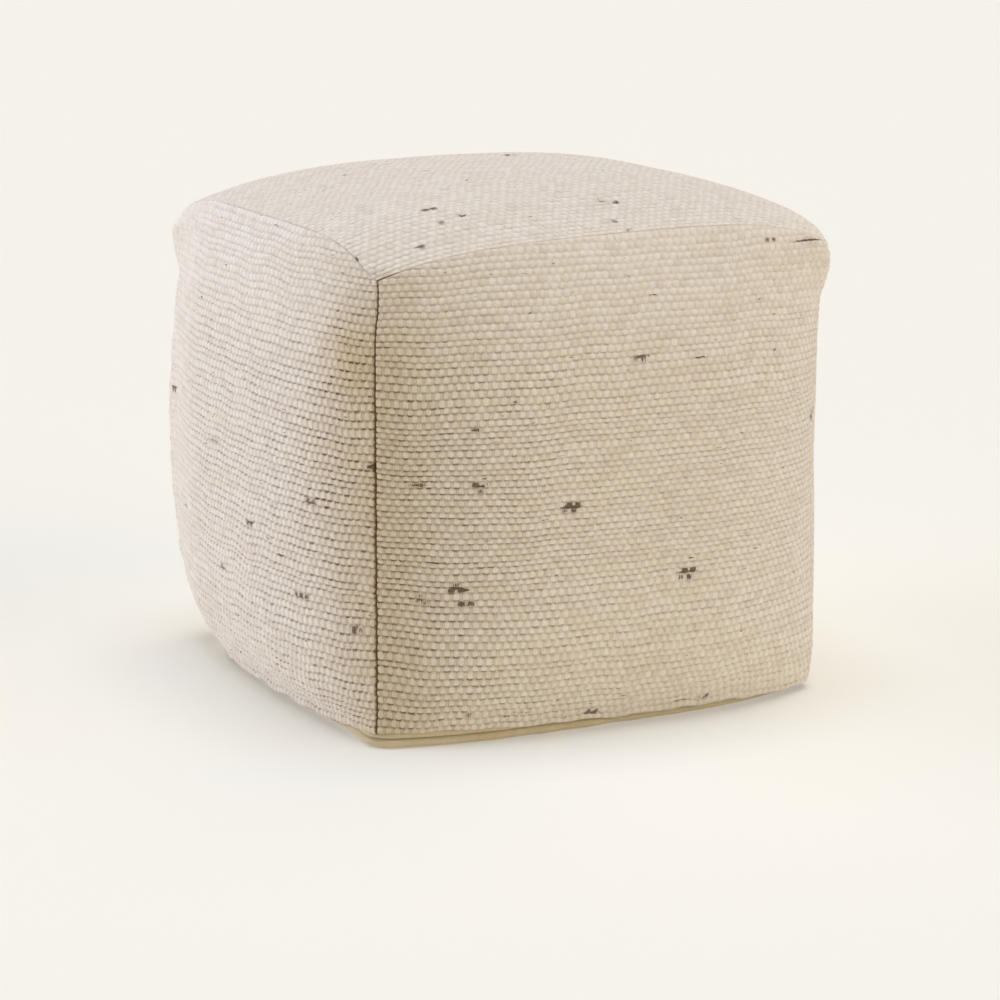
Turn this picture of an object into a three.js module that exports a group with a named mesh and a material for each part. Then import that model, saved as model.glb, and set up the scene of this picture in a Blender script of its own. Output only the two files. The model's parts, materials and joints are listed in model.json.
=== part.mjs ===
// A cube pouf: one filled body in a wool cover of five sewn panels, with a narrow canvas band
// under the cover. Millimetres, +Z up. The origin is on the floor, under the middle of the base.
import * as THREE from "three";

// Overall form, from seam to seam
const seamWidth = 428; // between the upright seams, left to right
const seamDepth = 416; // between the upright seams, front to back
const cornerHeight = 401; // floor to the four top corners
const crown = 56; // rise of the top's middle above its corners
const frontBelly = 57; // how far the front and back stand out past their upright seams
const sideBelly = 40; // the same for the left and right
const topBow = 12; // how far the top seams bow outwards at their middles

// How the fullness is shared out
const shoulder = 63; // depth below the top seam over which a side fills out
const footEase = 34; // height above the foot over which it does
const frontFootShare = 0.5; // share of the belly that the front and back have at the foot already
const sideFootShare = 0.3;
const bellyPower = 3.2; // a higher power gives flatter middles and tighter edges
const archPower = 4.2;
const archReach = 3; // how closely an arch stays at its own seam
const crownPower = 3.1;
const cornerPower = 6; // how closely a corner's ear and bow stay at the corner
const tuckPower = 2.3; // the same for its tuck, which draws more of the foot inwards

// Cloth, band and base
const wool = 4.5; // thickness of the woven cover
const woolAtSeam = 2.4; // the same where it is sewn down
const woolAtFoot = 2.7;
const seamSink = 2.8; // depth of the groove along a seam
const seamReach = 4; // and its half width
const clearance = 0.3; // between neighbouring pieces
const seamGap = 0.3; // each panel stops this short of the seam's middle
const footHeight = 13.5; // lower edge of the woven sides
const bandBottom = 8.6;
const bandInset = 0.7; // outer face of the band, behind the foot outline
const bandThickness = 2;

// The edge of the canvas base, from the floor up: height and inset from the foot outline
const baseEdge = [
  { z: 0, inset: 5 },
  { z: 1.5, inset: 1.6 },
  { z: 4.2, inset: 0 },
  { z: 7, inset: 1 },
  { z: 8.3, inset: 3 },
];

// The upright seams, each with its own shift along the diagonal:
// ear at the top, bow at mid height, tuck at the floor
const corners = [
  { a: -1, b: -1, ear: -6, bow: 0, tuck: -5 },
  { a: 1, b: -1, ear: 5.5, bow: -6, tuck: 7 },
  { a: -1, b: 1, ear: 9, bow: 15.5, tuck: 44 },
  { a: 1, b: 1, ear: 8, bow: 5, tuck: 22 },
];
const cornerDrop = 9; // the top is drawn down this far at the front left corner
const dropAlongFront = 175; // and less far along the front seam and in from it
const dropInwards = 30;
const earDrop = 17; // an ear is fullest this far below its corner
const earReach = 24;
const tuckReach = 18;

// Grid lines across a panel and up a side, closer together near the seams
const half = [0.15, 0.3, 0.46, 0.62, 0.78, 0.9, 0.97, 1];
const across = [...half.map((s) => -s).reverse(), 0, ...half];
const upwards = [0, 0.015, 0.05, 0.1, 0.18, 0.28, 0.38, 0.48, 0.58, 0.67, 0.75, 0.82, 0.89, 0.945, 0.985, 1];

// The sides in order round the pouf, seen from above and counted anticlockwise. arch is the rise
// of a side's top seam at its middle, and place gives the plan coordinates, from -1 to 1, of a
// point s along the side.
const sides = [
  { name: "front_panel", arch: 22, place: (s) => [s, -1] },
  { name: "right_panel", arch: 20.5, place: (s) => [1, s] },
  { name: "back_panel", arch: 21, place: (s) => [-s, 1] },
  { name: "left_panel", arch: 24, place: (s) => [-1, -s] },
];

const ease = (distance, length) => 1 - Math.exp(-distance / length);
const dome = (s, power) => 1 - Math.abs(s) ** power;

function outwardShift(corner, z) {
  const ear = corner.ear * Math.exp(-(((cornerHeight - earDrop - z) / earReach) ** 2));
  const bow = corner.bow * Math.sin((Math.PI * Math.min(z, cornerHeight)) / cornerHeight);
  return ear + bow;
}

// Share of the full belly at a height: the share at the foot, none at the top seam
function fullness(z, footShare) {
  const aboveFoot = Math.max(z - footHeight, 0);
  const belowSeam = Math.max(cornerHeight - z, 0);
  const rise = footShare + (1 - footShare) * ease(aboveFoot, footEase);
  return rise * ease(belowSeam, shoulder);
}

// Plan position of the point (a, b), each from -1 to 1, on the ring at height z
function plan(a, b, z, inset = 0) {
  let outward = 0;
  let tuck = 0;
  for (const corner of corners) {
    const weight = ((1 + a * corner.a) * (1 + b * corner.b)) / 4;
    outward += weight * outwardShift(corner, z);
    tuck += weight * corner.tuck * Math.exp(-z / tuckReach);
  }
  const nearCorner = Math.abs(a * b);
  const shift = outward * nearCorner ** cornerPower - tuck * nearCorner ** tuckPower;
  const bow = topBow * (z / cornerHeight) ** 6;
  const bellyX = sideBelly * fullness(z, sideFootShare);
  const bellyY = frontBelly * fullness(z, frontFootShare);
  const outX = (bellyX + bow) * a * a * dome(b, bellyPower);
  const outY = (bellyY + bow) * b * b * dome(a, bellyPower);
  const x = a * (seamWidth / 2 - inset + shift + outX);
  const y = b * (seamDepth / 2 - inset + shift + outY);
  return [x, y];
}

// Height of the top's surface at (a, b); on its edges it is the height of the top seam
function topHeight(a, b) {
  let height = cornerHeight + crown * dome(a, crownPower) * dome(b, crownPower);
  for (const side of sides) {
    const [normalA, normalB] = side.place(0);
    const towards = Math.max(a * normalA + b * normalB, 0);
    const along = a * normalB + b * normalA;
    height += side.arch * dome(along, archPower) * towards ** archReach;
  }
  const fromLeft = ((a + 1) * seamWidth) / 2 / dropAlongFront;
  const fromFront = ((b + 1) * seamDepth) / 2 / dropInwards;
  return height - cornerDrop * Math.exp(-(fromLeft ** 2) - fromFront ** 2);
}

function topPoint(a, b) {
  const [x, y] = plan(a, b, cornerHeight);
  return new THREE.Vector3(x, y, topHeight(a, b));
}

// A side's point: s along it, c from the foot (0) to the top seam (1). The plan is worked out
// at the height that the same row has at the corners, so the rows stay level with the seam.
function sidePoint(side, s, c) {
  const [a, b] = side.place(s);
  const rowHeight = footHeight + c * (cornerHeight - footHeight);
  const [x, y] = plan(a, b, rowHeight);
  const z = footHeight + c * (topHeight(a, b) - footHeight);
  return new THREE.Vector3(x, y, z);
}

function ringPoint(side, s, z, inset) {
  const [a, b] = side.place(s);
  const [x, y] = plan(a, b, z, inset);
  return new THREE.Vector3(x, y, z);
}

// A surface: rows of points, with the first index across and the second upwards or inwards
const grid = (first, second, point) => first.map((s) => second.map((c) => point(s, c)));
const key = (p) => `${p.x.toFixed(3)},${p.y.toFixed(3)},${p.z.toFixed(3)}`;

const sideSkins = sides.map((side) => grid(across, upwards, (s, c) => sidePoint(side, s, c)));
const topSkin = grid(across, across, topPoint);
const skins = [...sideSkins, topSkin];

// Outward directions, shared where two skins meet in a seam
const directions = new Map();

function addDirection(point, direction) {
  const name = key(point);
  if (!directions.has(name)) directions.set(name, new THREE.Vector3());
  directions.get(name).add(direction);
}

for (const skin of skins) {
  for (let i = 0; i + 1 < skin.length; i++) {
    for (let j = 0; j + 1 < skin[i].length; j++) {
      const cell = [skin[i][j], skin[i + 1][j], skin[i + 1][j + 1], skin[i][j + 1]];
      const diagonal = cell[2].clone().sub(cell[0]);
      const normal = diagonal.cross(cell[3].clone().sub(cell[1])).normalize();
      for (const point of cell) addDirection(point, normal);
    }
  }
}

const outward = (point) => directions.get(key(point)).clone().normalize();

// The depths of the three surfaces under a skin point that lies at a distance from its seam:
// the wool's outer face sinks at the seam, the wool is thinner there, and the body stays clear
function sewing(toSeam, thickness = wool) {
  const atSeam = Math.exp(-((toSeam / seamReach) ** 2));
  const outer = seamSink * atSeam;
  const inner = outer + thickness + (woolAtSeam - thickness) * atSeam;
  return { outer, inner, body: inner + clearance * (1 + 2 * atSeam) };
}

const toUpright = (s) => (1 - Math.abs(s)) * (seamWidth / 2);

// A side's surface at one of those depths; its foot follows the plan, level all round
function sideLayer(n, layer) {
  return sideSkins[n].map((column, i) =>
    column.map((point, j) => {
      if (j === 0) {
        const depth = sewing(toUpright(across[i]), woolAtFoot)[layer];
        const extra = layer === "body" ? clearance : 0;
        return ringPoint(sides[n], across[i], footHeight, depth + extra);
      }
      const toTop = (1 - upwards[j]) * cornerHeight;
      const depth = sewing(Math.min(toUpright(across[i]), toTop))[layer];
      return point.clone().addScaledVector(outward(point), -depth);
    }),
  );
}

function topLayer(layer) {
  return topSkin.map((column, i) =>
    column.map((point, j) => {
      const toSeam = Math.min(toUpright(across[i]), toUpright(across[j]));
      return point.clone().addScaledVector(outward(point), -sewing(toSeam)[layer]);
    }),
  );
}

// Moves the edges of a panel away from its seams; openFoot leaves the first row where it is
function drawEdges(skin, openFoot) {
  const last = skin.length - 1;
  const top = skin[0].length - 1;
  const moved = skin.map((column) => column.map((p) => p.clone()));
  const pull = (i, j, di, dj) => {
    const along = skin[i + di][j + dj].clone().sub(skin[i][j]).normalize();
    moved[i][j].addScaledVector(along, seamGap);
  };
  for (let j = 0; j <= top; j++) {
    pull(0, j, 1, 0);
    pull(last, j, -1, 0);
  }
  for (let i = 0; i <= last; i++) {
    pull(i, top, 0, -1);
    if (!openFoot) pull(i, 0, 0, 1);
  }
  return moved;
}

// Gathers numbered points and triangles into one geometry
class Solid {
  constructor() {
    this.numbers = new Map();
    this.positions = [];
    this.faces = [];
  }
  number(point) {
    const name = key(point);
    if (!this.numbers.has(name)) {
      this.numbers.set(name, this.positions.length / 3);
      this.positions.push(point.x, point.y, point.z);
    }
    return this.numbers.get(name);
  }
  triangle(p, q, r) {
    const corners = [p, q, r].map((point) => this.number(point));
    if (new Set(corners).size === 3) this.faces.push(...corners);
  }
  quad(p, q, r, s) {
    this.triangle(p, q, r);
    this.triangle(p, r, s);
  }
  surface(points, flipped = false) {
    for (let i = 0; i + 1 < points.length; i++) {
      for (let j = 0; j + 1 < points[i].length; j++) {
        const cell = [points[i][j], points[i + 1][j], points[i + 1][j + 1], points[i][j + 1]];
        if (flipped) this.triangle(cell[2], cell[1], cell[0]);
        else this.triangle(cell[0], cell[1], cell[2]);
        if (flipped) this.triangle(cell[3], cell[2], cell[0]);
        else this.triangle(cell[0], cell[2], cell[3]);
      }
    }
  }
  geometry() {
    const geometry = new THREE.BufferGeometry();
    geometry.setAttribute("position", new THREE.Float32BufferAttribute(this.positions, 3));
    geometry.setIndex(this.faces);
    geometry.computeVertexNormals();
    return geometry;
  }
}

// The border of a grid of points, anticlockwise as seen from outside
function border(points) {
  const last = points.length - 1;
  const top = points[0].length - 1;
  const loop = [];
  for (let i = 0; i < last; i++) loop.push(points[i][0]);
  for (let j = 0; j < top; j++) loop.push(points[last][j]);
  for (let i = last; i > 0; i--) loop.push(points[i][top]);
  for (let j = top; j > 0; j--) loop.push(points[0][j]);
  return loop;
}

// A cloth panel: an outer and an inner surface, closed round the border. Two panels that meet
// split the faces along their seam the same way, so that they stay parallel.
function panelGeometry(layer, openFoot) {
  const outer = drawEdges(layer("outer"), openFoot);
  const inner = drawEdges(layer("inner"), openFoot);
  const solid = new Solid();
  solid.surface(outer);
  solid.surface(inner, true);
  const [outerLoop, innerLoop] = [border(outer), border(inner)];
  const order = (p) => p.x + 2 * p.y + 3 * p.z;
  for (let n = 0; n < outerLoop.length; n++) {
    const next = (n + 1) % outerLoop.length;
    const face = [innerLoop[n], innerLoop[next], outerLoop[next], outerLoop[n]];
    if (order(outerLoop[n]) < order(outerLoop[next])) face.push(face.shift());
    solid.quad(...face);
  }
  return solid.geometry();
}

// The filled body: inside the panels, behind the band, then the canvas edge and the flat base
function bodyGeometry() {
  const solid = new Solid();
  sides.forEach((side, n) => {
    const covered = sideLayer(n, "body");
    const column = (s, i) => [
      ...baseEdge.map((row) => ringPoint(side, s, row.z, row.inset)),
      ...covered[i],
    ];
    solid.surface(across.map(column));
  });
  solid.surface(topLayer("body"));
  const base = grid(across, across, (a, b) => {
    const [x, y] = plan(a, b, 0, baseEdge[0].inset);
    return new THREE.Vector3(x, y, 0);
  });
  solid.surface(base, true);
  return solid.geometry();
}

// The canvas band: a square ring round the foot, between the base's edge and the wool
function bandGeometry() {
  const bandTop = footHeight - clearance;
  const solid = new Solid();
  for (const side of sides) {
    const strip = (from, to) =>
      across.map((s) => [from, to].map((row) => ringPoint(side, s, row.z, row.inset)));
    const lowOuter = { z: bandBottom, inset: bandInset };
    const highOuter = { z: bandTop, inset: bandInset };
    const lowInner = { z: bandBottom, inset: bandInset + bandThickness };
    const highInner = { z: bandTop, inset: bandInset + bandThickness };
    solid.surface(strip(lowOuter, highOuter));
    solid.surface(strip(highOuter, highInner));
    solid.surface(strip(lowInner, highInner), true);
    solid.surface(strip(lowOuter, lowInner), true);
  }
  return solid.geometry();
}

const pouf = new THREE.Group();

function addPiece(name, geometry, material) {
  const mesh = new THREE.Mesh(geometry, new THREE.MeshStandardMaterial({ metalness: 0, ...material }));
  mesh.name = name;
  pouf.add(mesh);
}

const woven = { color: 0xd9cab2, roughness: 0.95 };
const canvas = { color: 0xb8a788, roughness: 0.9 };

addPiece("filled_body", bodyGeometry(), canvas);
addPiece("canvas_band", bandGeometry(), canvas);
sides.forEach((side, n) => addPiece(side.name, panelGeometry((layer) => sideLayer(n, layer), true), woven));
addPiece("top_panel", panelGeometry(topLayer, false), woven);

export default pouf;
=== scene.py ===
# A cube pouf in undyed handwoven wool: five sewn panels round a filled canvas body.
# Metres, +Z up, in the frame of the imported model.
import json
import math

import bpy
import numpy as np
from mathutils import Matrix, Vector

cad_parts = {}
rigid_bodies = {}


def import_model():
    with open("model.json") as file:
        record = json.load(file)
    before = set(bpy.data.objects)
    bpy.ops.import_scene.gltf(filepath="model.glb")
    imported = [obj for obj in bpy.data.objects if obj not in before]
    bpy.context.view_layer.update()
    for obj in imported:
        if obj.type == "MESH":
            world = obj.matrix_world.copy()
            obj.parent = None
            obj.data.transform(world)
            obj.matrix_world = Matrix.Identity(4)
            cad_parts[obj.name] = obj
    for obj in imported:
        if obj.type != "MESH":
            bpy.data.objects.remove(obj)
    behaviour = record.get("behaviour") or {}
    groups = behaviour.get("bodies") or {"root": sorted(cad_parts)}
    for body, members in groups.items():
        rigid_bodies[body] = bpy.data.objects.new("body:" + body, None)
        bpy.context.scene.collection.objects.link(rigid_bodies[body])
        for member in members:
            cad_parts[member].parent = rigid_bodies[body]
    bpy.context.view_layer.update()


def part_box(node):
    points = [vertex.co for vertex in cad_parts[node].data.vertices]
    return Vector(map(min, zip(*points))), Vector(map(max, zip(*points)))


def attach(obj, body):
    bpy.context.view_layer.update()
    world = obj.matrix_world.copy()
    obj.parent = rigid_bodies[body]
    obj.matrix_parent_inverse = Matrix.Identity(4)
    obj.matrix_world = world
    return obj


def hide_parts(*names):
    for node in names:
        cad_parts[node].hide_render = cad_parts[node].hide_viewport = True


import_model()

mm = 0.001

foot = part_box("front_panel")[0].z  # lower edge of the woven sides

# The form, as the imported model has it. A higher power keeps a dome flat further out.
form = {
    "width": 428 * mm,  # between the upright seams, left to right
    "depth": 416 * mm,  # the same, front to back
    "cornerHeight": 401 * mm,
    "crown": 56 * mm,  # rise of the top's middle above its corners
    "frontBelly": 57 * mm,  # how far the front and back stand out past their upright seams
    "sideBelly": 40 * mm,
    "topBow": 12 * mm,  # how far the top seams bow out between the corners
    "topBowPower": 6,
    "shoulder": 63 * mm,  # depth below the top seam over which a side fills out
    "footEase": 34 * mm,  # height over which the belly grows from the foot
    "frontFootShare": 0.5,  # share of the belly that the front and back have at the foot already
    "sideFootShare": 0.3,
    "bellyPower": 3.2,
    "archPower": 4.2,
    "archReach": 3,
    "crownPower": 3.1,
    "cornerPower": 6,
    "tuckPower": 2.3,
    "cornerDrop": 9 * mm,  # how far the front left corner is drawn down, and how far that reaches
    "dropAlongFront": 175 * mm,
    "dropInwards": 30 * mm,
    "earDrop": 17 * mm,  # depth of the ears' middle below the corners
    "earReach": 24 * mm,
    "tuckReach": 18 * mm,
}

# Each upright seam's shift along the diagonal: ear at the top, bow at mid height, tuck at the floor
corners = [
    {"a": 1, "b": -1, "ear": 5.5 * mm, "bow": -6 * mm, "tuck": 7 * mm},
    {"a": 1, "b": 1, "ear": 8 * mm, "bow": 5 * mm, "tuck": 22 * mm},
    {"a": -1, "b": 1, "ear": 9 * mm, "bow": 15.5 * mm, "tuck": 44 * mm},
    {"a": -1, "b": -1, "ear": -6 * mm, "bow": 0, "tuck": -5 * mm},
]

# The panels, sides first and anticlockwise from above. place gives the plan coordinates, -1 to 1,
# of a point s along the side, and pitch and rowPitch are the spacings of warp pairs and of wefts.
panels = [
    {"name": "front_panel", "arch": 22 * mm, "pitch": 7.5 * mm, "rowPitch": 5.85 * mm, "seed": 11,
     "place": lambda s: (s, -np.ones_like(s))},
    {"name": "right_panel", "arch": 20.5 * mm, "pitch": 7.95 * mm, "rowPitch": 6.6 * mm, "seed": 12,
     "place": lambda s: (np.ones_like(s), s)},
    {"name": "back_panel", "arch": 21 * mm, "pitch": 7.95 * mm, "rowPitch": 6.6 * mm, "seed": 13,
     "place": lambda s: (-s, np.ones_like(s))},
    {"name": "left_panel", "arch": 24 * mm, "pitch": 7.95 * mm, "rowPitch": 6.6 * mm, "seed": 14,
     "place": lambda s: (-np.ones_like(s), -s)},
    {"name": "top_panel", "pitch": 7.95 * mm, "rowPitch": 6.6 * mm, "seed": 15},
]
sides, top = panels[:4], panels[4]


# 1 in the middle and 0 at -1 and 1
def dome(s, power):
    return 1 - np.abs(s) ** power


# A bell curve: 1 at no distance, 0.37 at the reach
def bell(distance, reach):
    return np.exp(-((distance / reach) ** 2))


# A corner's outward shift: a bump for the ear below the corner and half a sine wave up the seam
def outwardShift(corner, z):
    height = form["cornerHeight"]
    ear = corner["ear"] * bell(height - form["earDrop"] - z, form["earReach"])
    return ear + corner["bow"] * np.sin(np.pi * np.clip(z, 0, height) / height)


# Share of the full belly at a height: it grows from its share at the foot and ends at the top seam
def fullness(z, footShare):
    rise = 1 - (1 - footShare) * np.exp(-np.maximum(z - foot, 0) / form["footEase"])
    fall = 1 - np.exp(-np.maximum(form["cornerHeight"] - z, 0) / form["shoulder"])
    return rise * fall


# Plan position of (a, b), each -1 to 1, on the ring at height z: the half size, plus the corners'
# shifts less their tucks, which decay from the floor, plus a belly that is a dome along the side
def plan(a, b, z, inset=0.0):
    outward, tuck = 0, 0
    for corner in corners:
        weight = (1 + a * corner["a"]) * (1 + b * corner["b"]) / 4
        outward = outward + weight * outwardShift(corner, z)
        tuck = tuck + weight * corner["tuck"] * np.exp(-z / form["tuckReach"])
    nearCorner = np.abs(a * b)
    shift = outward * nearCorner ** form["cornerPower"] - tuck * nearCorner ** form["tuckPower"]
    bow = form["topBow"] * (np.maximum(z, 0) / form["cornerHeight"]) ** form["topBowPower"]
    bellyX = form["sideBelly"] * fullness(z, form["sideFootShare"])
    bellyY = form["frontBelly"] * fullness(z, form["frontFootShare"])
    outX = (bellyX + bow) * a * a * dome(b, form["bellyPower"])
    outY = (bellyY + bow) * b * b * dome(a, form["bellyPower"])
    x = a * (form["width"] / 2 - inset + shift + outX)
    y = b * (form["depth"] / 2 - inset + shift + outY)
    return x, y


# Height of the top at (a, b): the crown is a product of two domes, each side's arch fades with the
# cube of the distance from its own edge, and a bell along the front seam draws the front left down
def topHeight(a, b):
    crown = form["crown"] * dome(a, form["crownPower"]) * dome(b, form["crownPower"])
    height = form["cornerHeight"] + crown
    for side in sides:
        towardsA, towardsB = side["place"](np.zeros(1))
        towards = np.maximum(a * towardsA + b * towardsB, 0)
        along = a * towardsB + b * towardsA
        height = height + side["arch"] * dome(along, form["archPower"]) * towards ** form["archReach"]
    fromLeft = (a + 1) * form["width"] / 2 / form["dropAlongFront"]
    fromFront = (b + 1) * form["depth"] / 2 / form["dropInwards"]
    return height - form["cornerDrop"] * np.exp(-(fromLeft**2) - fromFront**2)


# A panel's smooth surface: s runs across it from -1 to 1, and c runs up a side from the foot, or
# over the top from the front, from 0 to 1
def skin(panel, s, c):
    s, c = np.broadcast_arrays(s, c)
    if panel is top:
        a, b = s, 2 * c - 1
        x, y = plan(a, b, np.full_like(a, form["cornerHeight"]))
        return np.stack([x, y, topHeight(a, b)], -1)
    a, b = panel["place"](s)
    x, y = plan(a, b, foot + c * (form["cornerHeight"] - foot))
    return np.stack([x, y, foot + c * (topHeight(a, b) - foot)], -1)


# Vectors over their own lengths
def unit(vectors):
    return vectors / np.maximum(np.linalg.norm(vectors, axis=-1, keepdims=True), 1e-12)


# Outward normal: the cross product of central differences along s and c, kept inside the panel
def skinNormal(panel, s, c, step=1e-3):
    s, c = np.broadcast_arrays(s, c)
    fromS = np.clip(s - step, -1, 1 - 2 * step)
    fromC = np.minimum(c - step, 1 - 2 * step)
    alongS = skin(panel, fromS + 2 * step, c) - skin(panel, fromS, c)
    alongC = skin(panel, s, fromC + 2 * step) - skin(panel, s, fromC)
    return unit(np.cross(alongS, alongC))


# The panel on the other side of a seam, and the same point's place on it
def acrossSeam(panel, edge, s, c):
    if panel is top:
        side = {"south": 0, "east": 1, "north": 2, "west": 3}[edge]
        b = 2 * c - 1
        return sides[side], [s, b, -s, -b][side], np.ones_like(s)
    here = sides.index(panel)
    if edge == "north":
        a, b = panel["place"](s)
        return top, a, (b + 1) / 2
    if edge == "west":
        return sides[here - 1], np.ones_like(s), c
    return sides[(here + 1) % 4], -np.ones_like(s), c


# The place on each edge of a panel that lies straight across from a point
edgePlaces = {
    "west": lambda s, c: (-np.ones_like(s), c),
    "east": lambda s, c: (np.ones_like(s), c),
    "south": lambda s, c: (s, np.zeros_like(c)),
    "north": lambda s, c: (s, np.ones_like(c)),
}


# Normal shared by the panels that meet at the seams named: the sum of their own normals there
def seamNormal(panel, edges, s, c):
    for edge in edges:
        s, c = edgePlaces[edge](s, c)
    total = skinNormal(panel, s, c)
    for edge in edges:
        other, otherS, otherC = acrossSeam(panel, edge, s, c)
        total = total + skinNormal(other, otherS, otherC)
    return unit(total)


# How the cover is sewn
sewing = {
    "uprightDepth": 3.6 * mm,  # how deep a panel's edge rolls into an upright seam
    "uprightRoll": 3.0 * mm,  # radius of that roll
    "uprightUneven": 0.3,  # how much each weft's end differs, as a share of the depth
    "topDepth": 0.5 * mm,
    "topRoll": 2.2 * mm,
    "frontRoll": (2.0 * mm, 10 * mm, 80 * mm),  # the roll over the front seam: depth, radius and reach
    "hemDepth": 2.2 * mm,
    "hemRoll": 3.4 * mm,
    "cornerPinch": 3.4 * mm,  # the top is tucked behind the front panel near the front left corner
    "pinchRadius": 6 * mm,
    "pinchReach": 19 * mm,
    "dimples": [2.5 * mm, 2.5 * mm, 2.5 * mm, 2.0 * mm],  # where three panels meet, as in corners
    "dimpleReach": 15 * mm,
    "cornerFolds": 1.1 * mm,  # height of short folds that fan out from that corner over the top
    "foldsFrom": 12 * mm,  # their distance from the corner, and how far to each side of that they reach
    "foldsReach": 8 * mm,
    "gap": 0.15 * mm,  # each panel stops this short of the seam's middle
    "blend": 12 * mm,  # distance over which a panel takes up the seam's own normal
    "wool": 4.5 * mm,  # thickness of the cloth
    "woolAtEdge": 1.4 * mm,  # and what is left of it under a seam's full depth
    "pucker": 0.45 * mm,
    "puckerWaves": (30 * mm, 16 * mm),
    "puckerReach": 13 * mm,
    # Painted shade in the seams' gaps: its reach and narrowing, its strength at closed seams, and its reach
    # on the top
    "seamShade": (1.95, 0.75),  # reach in mm of the dark line in an upright seam, and how much it narrows
    "closedSeam": 0.3,  # its strength where the seam is closed
    "topSeamShade": (2.3 * mm, 25 * mm),  # reach inwards and along the front of the line on the top
    "fillWaves": (0.8 * mm, 0.15 * mm),  # height of the long and short waves of the filling
    "fillWaveLengths": (180 * mm, 70 * mm),
    "fillReach": 30 * mm,  # distance from a seam over which they grow
}

# How far below the foot line the woven edge hangs, by place along each side from -1 to 1: the
# canvas shows under the front left corner and along the front, and is covered elsewhere
hem = {
    "front_panel": [(-1, 0.3 * mm), (-0.6, 2.4 * mm), (-0.2, 4.6 * mm), (0.5, 6.8 * mm), (1, 9.3 * mm)],
    "right_panel": [(-1, 9.3 * mm), (0, 8 * mm), (1, 8 * mm)],
    "back_panel": [(-1, 8 * mm), (0, 8 * mm), (1, 9.3 * mm)],
    "left_panel": [(-1, 9.3 * mm), (0, 9.3 * mm), (0.55, 8.8 * mm), (0.82, 4.5 * mm), (1, 0.3 * mm)],
    "unevenness": 0.7 * mm,
    "drawn": 70 * mm,  # height over which the rows above follow the edge down
    "canvasTuck": 6 * mm,  # how far the canvas lies further in where the wool covers it
}


# A quarter-round roll: how deep a surface lies at a distance from an edge
def roll(distance, depth, radius):
    t = 1 - np.clip(distance / radius, 0, 1)
    return depth * (1 - np.sqrt(1 - t * t))


# Smooth noise, about -1 to 1: the sum of a dozen plane waves with random directions
def smoothNoise(x, y, wavelength, seed):
    rng = np.random.default_rng(seed)
    total = np.zeros(np.broadcast(x, y).shape)
    for turn, phase, stretch in zip(rng.random(12) * 6.28, rng.random(12) * 6.28, rng.random(12)):
        waveNumber = 2 * np.pi / (wavelength * (0.7 + 0.9 * stretch))
        total = total + np.sin(waveNumber * (x * np.cos(turn) + y * np.sin(turn)) + phase)
    return total / 3.4


# Depth of the woven edge under the foot line along a side: between the places listed, with a
# little unevenness that fades at the corners
def hemDrop(n, s):
    places, drops = np.array(hem[sides[n]["name"]]).T
    uneven = hem["unevenness"] * smoothNoise(s, 0 * s, 0.16, 70 + n) * (1 - s**8)
    return np.clip(np.interp(s, places, drops) + uneven, 0, 10 * mm)


# The weave. Each pair of strengths is for the relief and for the painted shade in the grooves: how
# open the cloth stands beside the front left seam, and far from it on each panel.
weave = {
    "perPitch": 5,  # mesh columns across one warp pair
    "rowLevels": [0, 0.17, 0.5, 0.83],  # mesh rows inside one weft row
    "depth": 1.7 * mm,  # crest of a bead to the bottom of the groove between two rows
    "crest": 0.5 * mm,  # how far a crest stands above the smooth skin
    "sunkStrip": 0.6,  # height of the narrow strips between beads, as a share of the depth
    "closerRows": 0.17,  # how much closer the wefts lie half way up the front
    "closerAt": (0.52, 0.17),  # where up the front that is, and how far it reaches, as shares
    "rowVariation": 0.15,
    "beadVariation": 0.175,
    "wander": 0.8 * mm,
    "interlock": 0.5 * mm,  # how far a bead pushes the groove above it upwards
    "riseAtSeam": 2.2 * mm,  # how far the front's rows rise into the front left seam
    "beside": (1.12, 0.92),
    "onSide": (0.72, 0.36),
    "onLeft": (1.12, 0.5),
    "onTop": (0.65, 0.3),
    "openReach": 150 * mm,
    # Towards the top seam the cloth closes: heights in corner heights, and what its relief and the
    # painted shade in its grooves lose there
    "shut": {"from": 0.72, "to": 0.97, "relief": 0.3, "dark": 0.6, "opener": 0.6, "openerReach": 22 * mm},
    # and so it does towards the far end of the left panel
    "farEnd": {"from": 300 * mm, "to": 400 * mm, "relief": 0.5, "dark": 0.6},
    # How much yellower the wool is painted: each panel's own share, on the left only beside the front
    # left seam, where it is painted shade
    "panelYellow": {
        "front_panel": 0.25,
        "right_panel": 0.16,
        "back_panel": 0.04,
        "left_panel": 0.25,
        "top_panel": 0.13,
    },
    # Painted shade beside the front left seam, yellower and darker, fading out towards the top
    "yellowAndShade": {"share": 0.5, "reach": 46 * mm, "none": 1.06, "full": 0.8},  # and the seam's own, by height
    # Painted shade on the left panel near the seam: distance from the seam and height, each with its
    # reach, and how much yellower and darker it makes the wool
    "paintedShades": [
        {"away": 30 * mm, "reach": 30 * mm, "at": 332 * mm, "tall": 42 * mm, "yellowAndShade": 0.4, "dark": 0.8},
        {"away": 50 * mm, "reach": 34 * mm, "at": 230 * mm, "tall": 70 * mm, "yellowAndShade": 0.2, "dark": 0.4},
    ],
    "stripWidth": (0.20, 0.04),  # mean and variation, in pairs
    "oddBeads": 0.035,  # share of beads in much yellower wool, and as many in much greyer
    "innerColumns": 10,  # mesh columns and rows of the outer face for one of the inner face
}


# A smooth step from 0 at low to 1 at high
def smoothstep(low, high, x):
    t = np.clip((x - low) / (high - low), 0, 1)
    return t * t * (3 - 2 * t)


# Arc length along the first axis of an array of points, from 0
def arcLength(points):
    steps = np.linalg.norm(np.diff(points, axis=0), axis=-1)
    return np.concatenate([np.zeros((1,) + steps.shape[1:]), np.cumsum(steps, axis=0)])


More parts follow.
